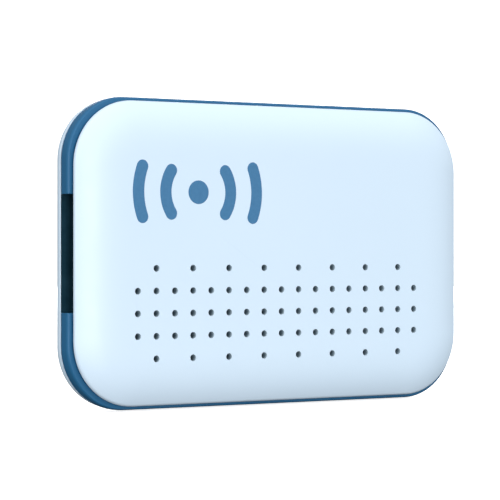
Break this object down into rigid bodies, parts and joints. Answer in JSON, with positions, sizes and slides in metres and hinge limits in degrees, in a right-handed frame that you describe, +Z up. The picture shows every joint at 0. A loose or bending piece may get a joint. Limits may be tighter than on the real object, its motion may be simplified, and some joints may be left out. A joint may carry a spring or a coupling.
{
  "type": "bluetooth tracker tag",
  "caption": "Thin rounded-rectangle Bluetooth key finder with a press-to-ring perforated front, a side strap slot and a removable back over a coin cell.",
  "frame": {"origin": "centre of the lower long side's bounding box, with the tag standing upright as pictured", "axes": "+X along the length, away from the strap slot; +Z up across the width; the front cover faces -Y and the back cover +Y"},
  "size_m": [0.0382, 0.006, 0.0248],
  "materials": {
    "cover_blue": "satin pale blue moulded plastic",
    "frame_blue": "satin mid blue moulded plastic",
    "liner_black": "dark satin moulded plastic",
    "mesh_black": "fine dark woven dust mesh",
    "steel": "plain bright steel",
    "insulator": "off-white plastic",
    "lithium": "dull grey soft metal",
    "cathode": "black pressed powder",
    "foam": "dark grey closed-cell foam",
    "contact_metal": "gold-coloured spring metal",
    "copper": "copper track under lacquer",
    "board": "green solder mask on glass fibre board",
    "chip": "black moulded component body",
    "capacitor": "tan ceramic chip with tinned ends",
    "piezo": "cream piezo ceramic"
  },
  "bodies": {
    "housing": {"mid_frame": "frame_blue", "strap_liner": "liner_black", "strap_post": "steel", "contact_negative": "contact_metal", "contact_positive": "contact_metal", "pcb": "board", "antenna_trace": "copper", "radio_chip": "chip", "crystal_main": "steel", "crystal_clock": "steel", "boost_inductor": "chip", "buzzer_driver": "chip", "switch_base": "insulator", "switch_cover": "steel", "sounder_ring": "insulator", "sounder_disc": "contact_metal", "sounder_ceramic": "piezo", "sounder_spring_1": "contact_metal", "sounder_spring_2": "contact_metal", "capacitor_1": "capacitor", "capacitor_2": "capacitor", "capacitor_3": "capacitor", "capacitor_4": "capacitor", "capacitor_5": "capacitor", "capacitor_6": "capacitor", "capacitor_7": "capacitor", "capacitor_8": "capacitor", "resistor_1": "chip", "resistor_2": "chip", "resistor_3": "chip", "resistor_4": "chip"},
    "front": {"front_cover": "cover_blue", "dust_mesh": "mesh_black"},
    "switch_stem": {"switch_stem": "chip", "switch_dome": "steel"},
    "back": {"back_cover": "cover_blue", "battery_foam": "foam"},
    "battery": {"battery_can": "steel", "battery_cap": "steel", "battery_gasket": "insulator", "battery_lithium": "lithium", "battery_separator": "insulator", "battery_cathode": "cathode"}
  },
  "joints": [
    {"name": "front_press", "type": "slide", "parent": "housing", "child": "front", "axis": [0, 1, 0], "range_m": [0, 0.0002], "stiffness_N_per_m": 500},
    {"name": "stem_press", "type": "slide", "parent": "housing", "child": "switch_stem", "axis": [0, 1, 0], "range_m": [0, 0.0002]},
    {"name": "back_cover_off", "type": "slide", "parent": "housing", "child": "back", "axis": [0, 1, 0], "range_m": [0, 0.02]},
    {"name": "battery_out", "type": "slide", "parent": "housing", "child": "battery", "axis": [0, 1, 0], "range_m": [0, 0.01]}
  ],
  "couplings": [
    {"joint": "stem_press", "follows": "front_press", "ratio": 1},
    {"joint": "battery_out", "follows": "back_cover_off", "ratio": 0.5}
  ]
}
